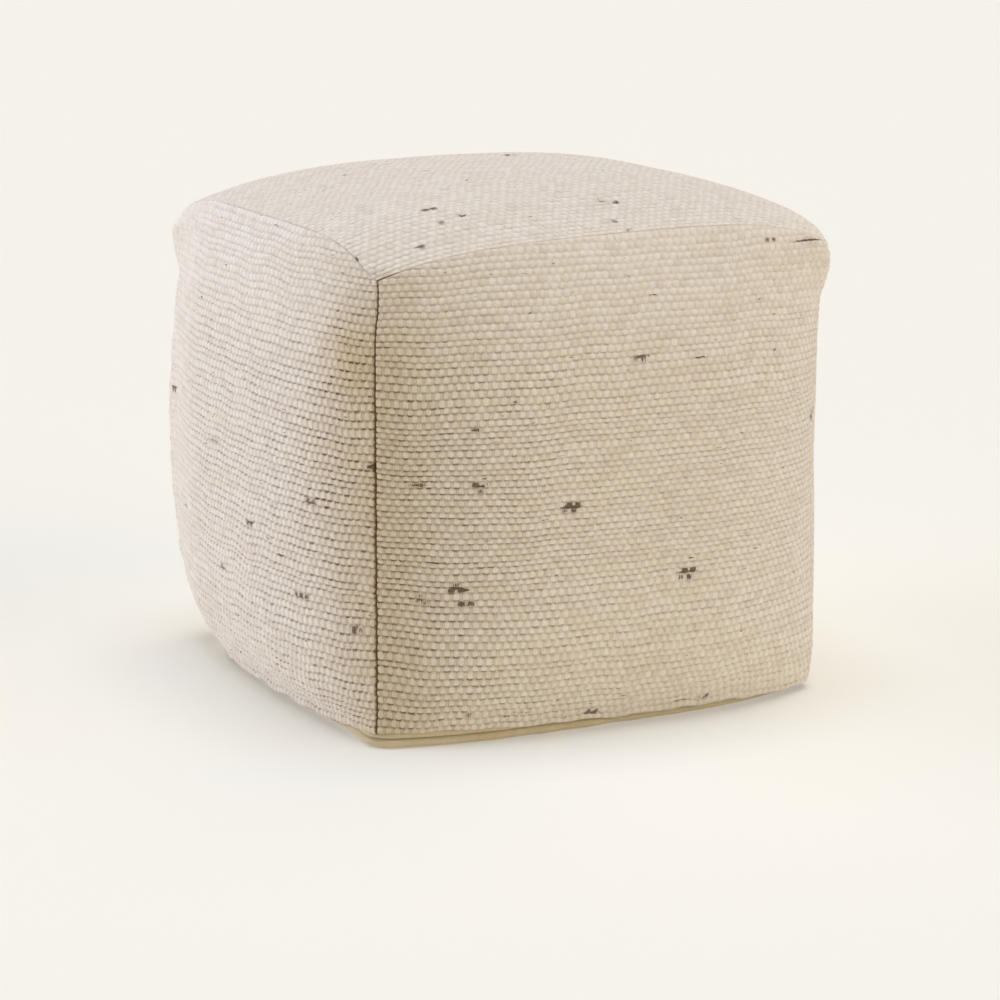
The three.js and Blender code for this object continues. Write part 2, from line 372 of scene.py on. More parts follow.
# Value of table rows at fractional row numbers: linear between the two nearest rows
def rowBlend(table, level):
    low = np.clip(np.floor(level).astype(int), 0, table.shape[0] - 2)
    share = np.clip(level - low, 0, 1)
    columns = np.arange(table.shape[1])[:, None]
    return table[low, columns] * (1 - share) + table[low + 1, columns] * share


arcSteps, arcLevels = 240, 24  # steps across a panel and up it between which arcs are measured


# Even places across a panel and the arc length to them from its left edge, for each even level
def arcTable(panel):
    fine = np.linspace(-1, 1, arcSteps + 1)
    levels = np.linspace(0, 1, arcLevels + 1)
    return fine, arcLength(skin(panel, fine[:, None], levels[None, :]))


# The threads of a panel as a grid of skin places (s, c), with the number of warp pairs and of
# weft rows from its lower left corner. Warp pairs are evenly spaced by arc length on every
# level, and wefts are level on the sides, so the arched top seam cuts across them.
def threadGrid(panel):
    rng = np.random.default_rng(panel["seed"])
    fine, arcs = arcTable(panel)
    width = arcs[-1, arcLevels // 2]
    upLevels = np.linspace(0, 1, 200)
    middle = skin(panel, np.zeros(1), upLevels[:, None])
    upMiddle = arcLength(middle)[:, 0]
    pitches = round(width / panel["pitch"])
    rows = round(upMiddle[-1] / panel["rowPitch"])

    count = pitches * weave["perPitch"]
    across = np.arange(count + 1) / count
    margin = sewing["gap"] / width
    spread = margin + across * (1 - 2 * margin)
    table = np.stack([np.interp(spread * arc[-1], arc, fine) for arc in arcs.T])

    heights = 1 + weave["rowVariation"] * rng.standard_normal(rows).clip(-2, 2)
    if panel["name"] == "front_panel":
        part = (np.arange(rows) + 0.5) / rows
        place, reach = weave["closerAt"]
        heights = heights * (1 - weave["closerRows"] * bell(part - place, reach))
    bounds = np.concatenate([[0], np.cumsum(heights)]) / heights.sum()
    parts = weave["rowLevels"]
    numbers = np.concatenate([(np.arange(rows)[:, None] + parts).ravel(), [rows]])
    upward = np.interp(numbers, np.arange(rows + 1), bounds) * upMiddle[-1]
    evenS, v = across[:, None] * 2 - 1, numbers[None, :]
    # The groove between two rows swings up over each bead of the row below it
    rowBelow = np.round(v).astype(int) - 1
    swing = -np.cos(2 * np.pi * (across[:, None] * pitches + 0.5 * (rowBelow % 2)))
    swing = swing * (1 - np.abs(2 * (v % 1) - 1) < 0.01) * (v > 0) * (v < rows)
    swing = swing * (1 + 0.5 * rng.standard_normal((count + 1, len(numbers))).clip(-1.5, 1.5))
    wanderX = smoothNoise(evenS, v / rows, 0.35, panel["seed"] + 20)
    wanderZ = smoothNoise(evenS, v / rows, 0.30, panel["seed"] + 40)

    if panel is top:
        level = np.interp(upward, upMiddle, upLevels)[None, :]
        inside = 1 - (2 * level - 1) ** 8
        c = level + (weave["wander"] * wanderZ * inside + weave["interlock"] * swing) / (2 * form["depth"])
        c = np.clip(c, margin, 1 - margin)
    else:
        n = sides.index(panel)
        # Wefts follow the belly in the middle of a side and are evenly spaced at its ends
        zMiddle = np.interp(upward, upMiddle, middle[:, 0, 2])[None, :]
        zEnd = foot + (upward / upMiddle[-1] * (middle[-1, 0, 2] - foot))[None, :]
        z = zEnd + (zMiddle - zEnd) * dome(evenS, 2.5)
        z = z + weave["wander"] * wanderZ * (v > 0) + weave["interlock"] * swing
        span = form["cornerHeight"] - foot
        follow = np.exp(-np.maximum(z - foot, 0) / hem["drawn"])
        s = rowBlend(table, np.clip((z - foot) / span, 0, 1) * arcLevels)
        z = z - hemDrop(n, s) * follow
        if panel["name"] == "front_panel":  # the rows rise a little into the front left seam
            z = z + weave["riseAtSeam"] * np.exp(-(s + 1) * 7) * smoothstep(0.0, 0.1, z - foot) * (z < 0.33)
        for again in range(2):
            c = (z - foot) / (topHeight(*panel["place"](s)) - foot)
            s = rowBlend(table, np.clip(c, 0, 1) * arcLevels)
        c[:, -1] = 1
    window = 1 - evenS**8
    s = rowBlend(table, np.clip(c, 0, 1) * arcLevels)
    s = s + weave["wander"] / form["width"] * 2 * wanderX * window
    # The last row that each column reaches below the arched seam, and its end exactly at the seam
    last = np.full(count + 1, len(numbers) - 1)
    if panel is not top:
        last = np.argmax(c >= 0.9995, axis=1)
        high = 1 - sewing["gap"] / (topHeight(*panel["place"](s)) - foot)
        c = np.minimum(c, high)
        c[np.arange(count + 1), last] = high[np.arange(count + 1), last]
    u = np.broadcast_to((across * pitches)[:, None], s.shape)
    return s, c, u, np.broadcast_to(v, s.shape), last, pitches, rows


# Distances to the four edges of a panel, in metres: west and east by arc length along the row,
# south and north by the slope of the skin at the edge
def edgeDistances(panel, s, c):
    arcs = arcTable(panel)[1]
    place = np.clip((s + 1) / 2 * arcSteps, 0, arcSteps - 0.001)
    low = place.astype(int)
    level = np.clip(c, 0, 1) * arcLevels
    lowC = np.minimum(level.astype(int), arcLevels - 1)
    shareS, shareC = place - low, level - lowC
    across = (arcs[low, lowC] * (1 - shareS) + arcs[low + 1, lowC] * shareS) * (1 - shareC)
    across = across + (arcs[low, lowC + 1] * (1 - shareS) + arcs[low + 1, lowC + 1] * shareS) * shareC
    total = arcs[-1, lowC] * (1 - shareC) + arcs[-1, lowC + 1] * shareC
    step = 2e-3
    onTop = np.linalg.norm(skin(panel, s, 0 * c + 1) - skin(panel, s, 0 * c + 1 - step), axis=-1) / step
    onFoot = np.linalg.norm(skin(panel, s, 0 * c + step) - skin(panel, s, 0 * c), axis=-1) / step
    south = c * onFoot
    if panel is not top:
        south = south + hemDrop(sides.index(panel), s)
    return {"west": across, "east": total - across, "south": np.abs(south), "north": (1 - c) * onTop}


# Outward directions: the panel's own normal, turned towards the seam's own over a short distance
def outwardDirections(panel, s, c, distance):
    reach = {edge: bell(d, sewing["blend"])[..., None] for edge, d in distance.items()}
    if panel is not top:
        reach["south"] = reach["south"] * 0
    upDown, leftRight = reach["south"] + reach["north"], reach["west"] + reach["east"]
    total = (1 - upDown) * (1 - leftRight) * skinNormal(panel, s, c)
    for edge in ("west", "east"):
        total = total + reach[edge] * (1 - upDown) * seamNormal(panel, [edge], s, c)
    for level in ("north",) if panel is not top else ("south", "north"):
        total = total + reach[level] * (1 - leftRight) * seamNormal(panel, [level], s, c)
        for edge in ("west", "east"):
            total = total + reach[level] * reach[edge] * seamNormal(panel, [edge, level], s, c)
    return unit(total)


# Hollows where three panels meet: a bell of the distance to each top corner
def dimple(around):
    return sum(deep * bell(d, sewing["dimpleReach"]) for deep, d in zip(sewing["dimples"], around))


# Depth of the roll over the front seam: a quarter round that fades away from the front left corner
def frontRollDepth(d, away):
    deep, radius, reach = sewing["frontRoll"]
    return roll(d, deep, radius) * bell(away, reach)


# Depth of the seams and the hem under the skin: the deepest of the rolls at the edges, and the
# dimples where three panels meet
def seamDepth(panel, distance, row):
    rng = np.random.default_rng(panel["seed"] + 30)
    uneven = 1 + sewing["uprightUneven"] * (rng.random(row.max() + 1) * 2 - 1)[row]
    upright = (sewing["uprightDepth"], sewing["uprightRoll"] * uneven)
    level = (sewing["topDepth"], sewing["topRoll"])
    west, east, south, north = (distance[edge] for edge in ("west", "east", "south", "north"))
    if panel is top:
        seams = np.maximum.reduce([roll(d, *level) for d in (west, east, south, north)])
        for x in (west, east):
            for y in (south, north):
                seams = np.maximum(seams, roll(np.hypot(x, y), *upright))
        corner = np.hypot(west, south)
        pinch = roll(south, sewing["cornerPinch"], sewing["pinchRadius"])
        pinch = pinch * bell(corner, sewing["pinchReach"])
        seams = np.maximum(seams, frontRollDepth(south, corner))
        seams = np.maximum(seams, pinch + roll(south, *level))
        around = [np.hypot(east, south), np.hypot(east, north), np.hypot(west, north), corner]
        return seams + dimple(around)
    seams = np.maximum.reduce([roll(west, *upright), roll(east, *upright), roll(north, *level)])
    if panel["name"] == "front_panel":
        seams = np.maximum(seams, frontRollDepth(north, np.hypot(west, north)))
    n = sides.index(panel)
    far = 1 + 0 * north
    around = [far, far, far, far]
    around[n - 1], around[n] = np.hypot(west, north), np.hypot(east, north)
    return np.maximum(seams, roll(south, sewing["hemDepth"], sewing["hemRoll"])) + dimple(around)


# Short folds that fan out over the top from the front left corner: a wave of the angle round it
def cornerFan(panel, distance):
    if panel is not top:
        return 0 * distance["west"]
    away = np.hypot(distance["west"], distance["south"])
    angle = np.arctan2(distance["south"], distance["west"])
    waves = np.sin(angle * 14 + 3 * away / (20 * mm))
    fan = waves * smoothstep(0.1, 0.4, angle) * smoothstep(1.5, 1.2, angle)
    return sewing["cornerFolds"] * fan * bell(away - sewing["foldsFrom"], sewing["foldsReach"])


# Puckers beside the upright seams: short waves up the seam that fade away from it
def puckers(panel, distance, z):
    if panel is top:
        return 0 * z
    n = sides.index(panel)
    total = 0 * z
    for edge, seam in (("west", (n - 1) % 4), ("east", n)):
        long, short = sewing["puckerWaves"]
        waves = smoothNoise(z, 0 * z, long, 90 + seam) + 0.6 * smoothNoise(z, 0 * z, short, 95 + seam)
        total = total + waves * bell(distance[edge], sewing["puckerReach"])
    return sewing["pucker"] * total * smoothstep(0, 20 * mm, distance["north"])


# Slow waves of the filling behind the cloth, none at the seams
def fillWaves(panel, points, distance):
    nearest = np.minimum.reduce([distance["west"], distance["east"], distance["north"]])
    if panel is top:
        nearest = np.minimum(nearest, distance["south"])
    along, z = points[..., 0] + points[..., 1], points[..., 2]
    total = 0 * z
    for n, (height, length) in enumerate(zip(sewing["fillWaves"], sewing["fillWaveLengths"])):
        total = total + height * smoothNoise(along, z, length, panel["seed"] + 60 + n)
    return total * smoothstep(0, sewing["fillReach"], nearest)


# How open the weave stands, how strong the painted shade in its grooves is and how yellow the wool
# is, each as a share. Open and dark fade from beside the front left seam, where the cloth is pulled
# over the curve, to each panel's own. Yellow is the panel's own share and painted shade, yellower
# and darker, in a bell of the distance from that seam and in patches on the left panel.
def openness(panel, distance, height):
    onLeft = panel["name"] == "left_panel"
    fromSeam = {"front_panel": "west", "left_panel": "east"}.get(panel["name"])
    away = distance[fromSeam] if fromSeam else 1 + 0 * height
    share = bell(away, weave["openReach"])
    kind = "onTop" if panel is top else "onLeft" if onLeft else "onSide"
    lifted, dark = (a + (b - a) * share for a, b in zip(weave[kind], weave["beside"]))
    level = height / form["cornerHeight"]
    if panel is not top:
        shut = weave["shut"]
        opener = 1 - shut["opener"] * np.exp(-away / shut["openerReach"])
        closed = smoothstep(shut["from"], shut["to"], level) * opener
        lifted, dark = lifted * (1 - shut["relief"] * closed), dark * (1 - shut["dark"] * closed)
    panelYellow = weave["panelYellow"][panel["name"]]
    if onLeft:
        far = weave["farEnd"]
        farEnd = smoothstep(far["from"], far["to"], away)
        lifted, dark = lifted * (1 - far["relief"] * farEnd), dark * (1 - far["dark"] * farEnd)
        panelYellow = panelYellow * share
    # Painted shade beside the front left seam, fading out towards the top
    seam = weave["yellowAndShade"]
    yellowAndShade = panelYellow + seam["share"] * bell(away, seam["reach"]) * smoothstep(seam["none"], seam["full"], level)
    # Painted shade on the left panel near the seam: yellower wool and darker grooves
    if onLeft:
        darker = 1
        for shadePatch in weave["paintedShades"]:
            across = bell(away - shadePatch["away"], shadePatch["reach"])
            amount = across * bell(height - shadePatch["at"], shadePatch["tall"])
            yellowAndShade = yellowAndShade + shadePatch["yellowAndShade"] * amount
            darker = darker + shadePatch["dark"] * amount
        dark = dark * darker
    return lifted, dark, yellowAndShade


# Relief of the cloth, 0 at the bottom of a groove to about 1 on a bead. A row is a rounded rib;
# along it wide beads take turns with narrow sunk strips, and the next row is half a pair on.
def threadRelief(panel, u, v, pitches, rows):
    rng = np.random.default_rng(panel["seed"] + 5)
    row = np.minimum(np.floor(v + 1e-6).astype(int), rows - 1)
    rowPart = v - row
    shifted = u + 0.5 * (row % 2)
    bead = np.floor(shifted).astype(int)
    fromStrip = 0.5 - np.abs(shifted - bead - 0.5)
    rib = np.maximum(1 - np.abs(2 * rowPart - 1) ** 3, 0) ** 0.66
    size = 1 + weave["beadVariation"] * rng.standard_normal((pitches + 2, rows)).clip(-2.2, 2.2)
    wide, varied = weave["stripWidth"]
    stripWidth = wide + varied * rng.standard_normal((pitches + 2, rows)).clip(-2, 2)
    plump = smoothstep(0.04, stripWidth[bead, row] + 0.08, fromStrip)
    sunk = weave["sunkStrip"]
    height = rib * (sunk + (1 - sunk) * plump * size[bead, row])
    odd = rng.random((pitches + 2, rows))
    tints = 0.5 + 0.15 * rng.standard_normal((pitches + 2, rows)).clip(-2, 2)
    share = weave["oddBeads"]
    tints = np.where(odd < share, 0.95, np.where(odd > 1 - share, 0.05, tints))
    tint = tints[bead, row]
    return height, tint, row


# Large flecks of dark fleece spun into the yarn, each a soft oval along its row: place, half
# length and half height in pairs and rows, and strength. The material adds the small ones.
flecks = {
    "front_panel": [
        (56.4, 69, 1.84, 0.37, 1), (50.5, 69.7, 0.6, 0.3, 0.7), (33.8, 72.4, 0.78, 0.48, 0.9),
        (31.3, 54.9, 0.99, 0.28, 0.7), (38.7, 54, 0.67, 0.25, 0.7), (22.3, 33.1, 1.03, 0.5, 1),
        (36.8, 20.2, 1, 0.63, 1), (11.4, 37.2, 0.42, 0.61, 0.9), (8.9, 20.9, 0.41, 0.45, 1),
        (9.8, 20.5, 0.4, 0.6, 1), (9.9, 18.3, 0.61, 0.28, 0.9), (5.1, 18.9, 0.57, 0.59, 0.6),
        (11.1, 46.5, 0.32, 0.37, 0.8), (4.8, 37.5, 1, 0.29, 0.6), (6.9, 25, 0.78, 0.26, 0.7),
        (41.8, 1.3, 0.68, 0.34, 0.7), (38.3, 1.2, 1.39, 0.28, 0.6), (59.4, 41.9, 1.01, 0.8, 0.8),
        (17, 2.4, 1.82, 0.23, 0.6), (26.4, 1.1, 1.05, 0.3, 0.8), (10.7, 2.7, 0.69, 0.23, 0.6),
    ],
    "left_panel": [
        (21.7, 32.3, 2.65, 0.32, 0.8), (46.3, 29.2, 0.89, 0.24, 0.8), (32.6, 23.8, 1.05, 0.22, 0.7),
        (39.7, 21, 0.87, 0.22, 0.7), (44.5, 16.3, 1.13, 0.29, 0.9), (53.1, 13.7, 0.91, 0.31, 0.8),
        (23.1, 15.2, 1.12, 0.24, 0.6), (8.3, 20.2, 1.06, 0.23, 0.5), (2.6, 35.8, 1.07, 0.36, 0.8),
        (55.7, 35.5, 0.46, 0.21, 1),
    ],
    "top_panel": [
        (6.8, 3.9, 0.57, 0.21, 0.9), (0, 5.4, 0.33, 0.23, 0.7), (-0.5, 8.5, 0.23, 0.18, 0.6),
        (11.1, 11.5, 0.56, 0.39, 0.8), (12.1, 11.3, 0.46, 0.38, 0.8), (13.9, 8.1, 0.48, 0.25, 0.7),
        (10.8, 7.4, 0.46, 0.23, 0.6), (31.1, 9, 0.47, 0.31, 0.7), (32.4, 8.1, 0.37, 0.33, 0.7),
        (30.1, 3.1, 0.36, 0.33, 0.6), (30.9, 0.8, 0.38, 0.43, 0.6), (33.9, 42.7, 0.49, 0.96, 0.9),
    ],
}


# How much dark fleece lies at each point: a fleck covers whole beads near its middle, each shaped
# like a bead, and a thin thread along its row joins them
def fleckMap(panel, u, v):
    total = np.zeros(u.shape)
    half = 0.5 * (np.floor(v + 1e-6) % 2)
    beadU, beadV = np.floor(u + half) + 0.5 - half, np.floor(v + 1e-6) + 0.5
    shape = np.exp(-(((u - beadU) / 0.42) ** 4) - ((v - beadV) / 0.46) ** 4)
    for x, y, halfLength, halfHeight, strength in flecks.get(panel["name"], []):
        apartU, apartV = (beadU - x) / (halfLength + 0.25), (beadV - y) / (halfHeight + 0.3)
        inBeads = np.exp(-(apartU**4) - apartV**4)
        thread = np.exp(-(((u - x) / (1.5 * halfLength)) ** 2) - ((v - y) / 0.16) ** 2)
        inBeads = inBeads * (0.85 if halfLength < 1.3 else 0.45)
        total = np.maximum(total, strength * np.maximum(inBeads * shape, thread))
    return total


# A mesh object from arrays of points and of faces, smooth shaded, with its values for the material
def newPiece(name, points, faces, material, attributes=None, uv=None):
    mesh = bpy.data.meshes.new(name)
    mesh.vertices.add(len(points))
    mesh.vertices.foreach_set("co", np.ascontiguousarray(points, np.float32).ravel())
    mesh.loops.add(faces.size)
    mesh.loops.foreach_set("vertex_index", np.ascontiguousarray(faces, np.int32).ravel())
    mesh.polygons.add(len(faces))
    mesh.polygons.foreach_set("loop_start", np.arange(0, faces.size, faces.shape[1], dtype=np.int32))
    mesh.polygons.foreach_set("use_smooth", np.ones(len(faces), bool))
    for key, values in (attributes or {}).items():
        layer = mesh.attributes.new(key, "FLOAT", "POINT")
        layer.data.foreach_set("value", np.ascontiguousarray(values, np.float32).ravel())
    if uv is not None:
        layer = mesh.uv_layers.new(name="cloth")
        layer.data.foreach_set("uv", np.ascontiguousarray(uv[faces.ravel()], np.float32).ravel())
    mesh.update(calc_edges=True)
    mesh.validate()
    mesh.materials.append(material)
    piece = bpy.data.objects.new(name, mesh)
    bpy.context.scene.collection.objects.link(piece)
    return piece


# Triangles without the ones that use a vertex twice
def withArea(faces):
    flat = (faces[:, 0] == faces[:, 1]) | (faces[:, 1] == faces[:, 2]) | (faces[:, 0] == faces[:, 2])
    return faces[~flat]


# Two triangles for each cell of a grid of vertex numbers
def gridFaces(numbers):
    a, b = numbers[:-1, :-1].ravel(), numbers[1:, :-1].ravel()
    c, d = numbers[1:, 1:].ravel(), numbers[:-1, 1:].ravel()
    return withArea(np.concatenate([np.stack([a, b, c], -1), np.stack([a, c, d], -1)]))


# Vertex numbers round the border of a grid, anticlockwise as seen from outside; last is the
# highest row that each column reaches
def borderLoop(numbers, last):
    count = numbers.shape[0]
    south = numbers[:-1, 0]
    east = numbers[-1, : last[-1]]
    north = numbers[np.arange(count - 1, 0, -1), last[:0:-1]]
    west = numbers[0, last[0] : 0 : -1]
    return np.concatenate([south, east, north, west])


# Walls between an outer border and an inner one that has every few of its points: each fine
# step goes to the nearest coarse point, and each coarse step to the fine point half way along it
def borderWalls(outer, inner, picked):
    count = len(outer)
    ends = np.append(picked[1:], count)
    mids = (picked + ends) // 2
    steps = np.arange(count)
    nearest = np.searchsorted(mids, steps, side="right") % len(inner)
    fine = np.stack([outer[(steps + 1) % count], outer[steps], inner[nearest]], -1)
    coarse = np.stack([inner, np.roll(inner, -1), outer[mids % count]], -1)
    return np.concatenate([fine, coarse])


# Strength of the painted shade in a seam's gap: a bell of the distance from the seam, narrower
# towards the top. It is full at the front left seam, which is pulled open, and on the top only near
# that corner.
def seamShade(panel, distance, height):
    if panel is top:
        depth, reach = sewing["topSeamShade"]
        return bell(distance["south"], depth) * bell(distance["west"], reach)
    wide, narrower = sewing["seamShade"]
    width = (wide - narrower * smoothstep(0.6, 0.95, height / form["cornerHeight"])) * mm
    pulledOpen = {"front_panel": "west", "left_panel": "east"}.get(panel["name"])
    line = 0 * width
    for edge in ("west", "east"):
        strength = 1.0 if edge == pulledOpen else sewing["closedSeam"]
        line = np.maximum(line, strength * bell(distance[edge], width))
    return line


# A sewn panel: the woven outer face on the thread grid, a plain inner face with fewer points,
# and walls round the edge
def sewnPanel(panel, material):
    s, c, u, v, last, pitches, rows = threadGrid(panel)
    distance = edgeDistances(panel, s, c)
    outward = outwardDirections(panel, s, c, distance)
    smooth = skin(panel, s, c)
    height, tint, row = threadRelief(panel, u, v, pitches, rows)
    depth = seamDepth(panel, distance, row)
    nearest = np.minimum.reduce([distance[edge] for edge in ("west", "east", "north", "south")])
    shown = smoothstep(-0.6 * mm, 0.9 * mm, nearest)
    opened, dark, yellowAndShade = openness(panel, distance, smooth[..., 2])
    lift = (weave["crest"] - weave["depth"] * (1 - height) * opened) * shown
    slow = fillWaves(panel, smooth, distance) + puckers(panel, distance, smooth[..., 2])
    slow = slow + cornerFan(panel, distance)
    outerFace = smooth + outward * (lift + slow - depth)[..., None]
    thickness = np.maximum(sewing["wool"], sewing["woolAtEdge"] + depth)
    innerFace = smooth + outward * (slow - thickness)[..., None]

    numbers = np.arange(s.size).reshape(s.shape)
    reached = np.minimum(np.arange(s.shape[1])[None, :], last[:, None])
    numbers = np.take_along_axis(numbers, reached, 1)
    outerFaces = gridFaces(numbers)

    step = weave["innerColumns"]
    columns = np.unique(np.append(np.arange(0, s.shape[0], step), s.shape[0] - 1))
    levels = max(2, s.shape[1] // step)
    picks = np.round(np.arange(levels + 1)[None, :] / levels * last[columns][:, None]).astype(int)
    innerPoints = innerFace[columns[:, None], picks].reshape(-1, 3)
    innerNumbers = s.size + np.arange(len(innerPoints)).reshape(picks.shape)
    innerFaces = gridFaces(innerNumbers)[:, ::-1]

    loop = borderLoop(numbers, last)
    innerLoop = borderLoop(innerNumbers, np.full(len(columns), levels))
    pickedNumbers = numbers[columns[:, None], picks]
    pickedLoop = borderLoop(pickedNumbers, np.full(len(columns), levels))
    where = np.full(s.size, -1)
    where[loop] = np.arange(len(loop))
    walls = borderWalls(loop, innerLoop, where[pickedLoop])

    points = np.concatenate([outerFace.reshape(-1, 3), innerPoints])
    faces = np.concatenate([outerFaces, innerFaces, walls])
    used, compact = np.unique(faces, return_inverse=True)
    inner = np.zeros(len(innerPoints))
    # Painted shade in the grooves, full on the inner face and walls that show in the seams' gaps
    groove = np.concatenate([(dark * shown).ravel(), inner + 1])
    tints = np.concatenate([tint.ravel(), inner + 0.5])
    darkFleece = np.concatenate([fleckMap(panel, u, v).ravel(), inner])
    # Painted shade in the seams' gaps, and a little on the inner face and walls that show in them
    seams = np.concatenate([seamShade(panel, distance, smooth[..., 2]).ravel(), inner + 0.3])
    threads = np.stack([u, v], -1)
    threads = np.concatenate([threads.reshape(-1, 2), threads[columns[:, None], picks].reshape(-1, 2)])
    cloth = np.stack([u * panel["pitch"], v * panel["rowPitch"]], -1).reshape(-1, 2)
    cloth = np.concatenate([cloth, cloth[pickedNumbers.ravel()]])
    piece = newPiece(
        "woven_" + panel["name"],
        points[used],
        compact.reshape(faces.shape),
        material,
        {
            "warp": threads[used, 0],
            "weft": threads[used, 1],
            "groove": groove[used],
            "tint": tints[used],
            "fleck": darkFleece[used],
            "seam": seams[used],
            "yellowAndShade": np.concatenate([yellowAndShade.ravel(), inner])[used],
        },
        cloth[used],
    )
    flat = (pitches * panel["pitch"], rows * panel["rowPitch"])
    print(f"{piece.name}: {pitches} warp pairs by {rows} rows, {len(faces)} triangles")
    return piece, flat


# The canvas. rollRows and bandRows are heights and insets from the foot outline in millimetres.
canvas = {
    "columns": 72,  # mesh columns along a side
    "cornerRadius": 12 * mm,
    "rowsInside": 20,
    "underWool": 9.5 * mm,  # how far the filled body lies under the cover's skin
    "underFoot": 4 * mm,  # and how far its inner rows start under the foot line
    "rollRows": [
        (0.0, 6.5), (0.5, 4.0), (1.4, 2.0), (2.7, 0.6), (4.2, 0.0), (5.8, 0.3), (7.2, 1.2), (8.2, 3.0),
    ],
    "bandRows": [
        (8.6, 3.4), (8.7, 1.1), (9.6, 0.5), (11.0, 0.4), (12.4, 0.7), (13.1, 1.5), (13.2, 5.2),
        (17.0, 5.6), (17.0, 6.6), (12.2, 6.4), (12.0, 3.4),
    ],
}


# How far the canvas lies further in: where the wool hangs over it, and round the corners, where
# it is r (1 - cos t) with t = acos(d / (r sqrt 2)) - 45 degrees at a distance d from a corner
def canvasTuck(n, s):
    under = hem["canvasTuck"] * smoothstep(1.5 * mm, 7 * mm, hemDrop(n, s))
    length = form["depth"] if n % 2 else form["width"]
    radius = canvas["cornerRadius"]
    part = np.clip((1 - np.abs(s)) * length / 2 / (radius * math.sqrt(2)), 0, math.sqrt(0.5))
    return under + radius * (1 - np.cos(np.arccos(part) - np.pi / 4))


# Grids of points that share their borders, joined into one mesh by rounding to a micrometre
def joinGrids(grids):
    points, faces, start = [], [], 0
    for grid, flipped in grids:
        numbers = start + np.arange(grid.shape[0] * grid.shape[1]).reshape(grid.shape[:2])
        part = gridFaces(numbers)
        faces.append(part[:, ::-1] if flipped else part)
        points.append(grid.reshape(-1, 3))
        start += grid.shape[0] * grid.shape[1]
    points, faces = np.concatenate(points), np.concatenate(faces)
    rounded = np.round(points / 1e-6).astype(np.int64)
    first, joined = np.unique(rounded, axis=0, return_index=True, return_inverse=True)[1:]
    return points[first], withArea(joined.reshape(-1)[faces])


# Points of a ring on one side, at a height and an inset from the foot outline, both in metres
def ringPoints(n, s, z, inset):
    a, b = sides[n]["place"](s)
    x, y = plan(a, b, z, inset + canvasTuck(n, s))
    return np.stack([x, y, np.broadcast_to(z, x.shape)], -1)


# Positions across a side, closer together towards its ends
def sidePositions(count):
    t = np.linspace(-1, 1, count + 1)
    return np.sin(t * np.pi / 2) * 0.6 + t * 0.4


# The filled body: the canvas roll round the foot, sides that follow the cover's skin from inside,
# a top under the cover's own, and a flat base whose rim takes up each side's tuck
def canvasBody(material):
    s = sidePositions(canvas["columns"])
    under = canvas["underWool"]
    grids = []
    for n, side in enumerate(sides):
        rows = [ringPoints(n, s, np.full_like(s, z * mm), inset * mm) for z, inset in canvas["rollRows"]]
        a, b = side["place"](s)
        for c in np.linspace(0, 1, canvas["rowsInside"] + 1):
            below = (1 - c) * canvas["underFoot"]
            x, y = plan(a, b, foot + c * (form["cornerHeight"] - foot) - below, under)
            rows.append(np.stack([x, y, foot + c * (topHeight(a, b) - foot) - under * c - below], -1))
        grids.append((np.stack(rows, 1), False))
    a, b = np.meshgrid(s, s, indexing="ij")
    x, y = plan(a, b, np.full_like(a, form["cornerHeight"]), under)
    grids.append((np.stack([x, y, topHeight(a, b) - under], -1), False))
    base = np.zeros(a.shape + (3,))
    lowest, inset = canvas["rollRows"][0]
    tucks = [canvasTuck(0, a), canvasTuck(1, b), canvasTuck(2, -a), canvasTuck(3, -b)]
    tuck = np.maximum.reduce([part * np.maximum(t, 0) ** 8 for part, t in zip(tucks, (-b, a, b, -a))])
    for part, t in zip(tucks, (-b, a, b, -a)):
        tuck = np.where(t > 0.9999, part, tuck)
    base[..., 0], base[..., 1] = plan(a, b, 0 * a + lowest, inset * mm + tuck)
    grids.append((base, True))
    points, faces = joinGrids(grids)
    piece = newPiece("canvas_body", points, faces, material)
    print(f"canvas_body: {len(faces)} triangles")
    return piece


# The band: one closed profile carried round the foot
def canvasBand(material):
    s = sidePositions(canvas["columns"])
    profile = canvas["bandRows"] + canvas["bandRows"][:1]
    grids = []
    for n in range(4):
        rows = [ringPoints(n, s, np.full_like(s, z * mm), inset * mm) for z, inset in profile]
        grids.append((np.stack(rows, 1), False))
    points, faces = joinGrids(grids)
    piece = newPiece("canvas_edge_band", points, faces, material)
    print(f"canvas_edge_band: {len(faces)} triangles")
    return piece


# An sRGB hex colour as linear light
def colour(hexValue):
    parts = [int(hexValue[i : i + 2], 16) / 255 for i in (1, 3, 5)]
    return [p / 12.92 if p <= 0.04045 else ((p + 0.055) / 1.055) ** 2.4 for p in parts] + [1.0]


# A material with an empty node tree
def newMaterial(name):
    material = bpy.data.materials.new(name)
    material.use_nodes = True
    material.node_tree.nodes.clear()
    return material, material.node_tree


# Adds a node with its settings, then sets or links its inputs by name or number
def addNode(tree, kind, settings=None, inputs=None):
    node = tree.nodes.new("ShaderNode" + kind)
    for key, value in (settings or {}).items():
        setattr(node, key, value)
    for key, value in (inputs or {}).items():
        if isinstance(value, bpy.types.NodeSocket):
            tree.links.new(value, node.inputs[key])
        else:
            node.inputs[key].default_value = value
    return node


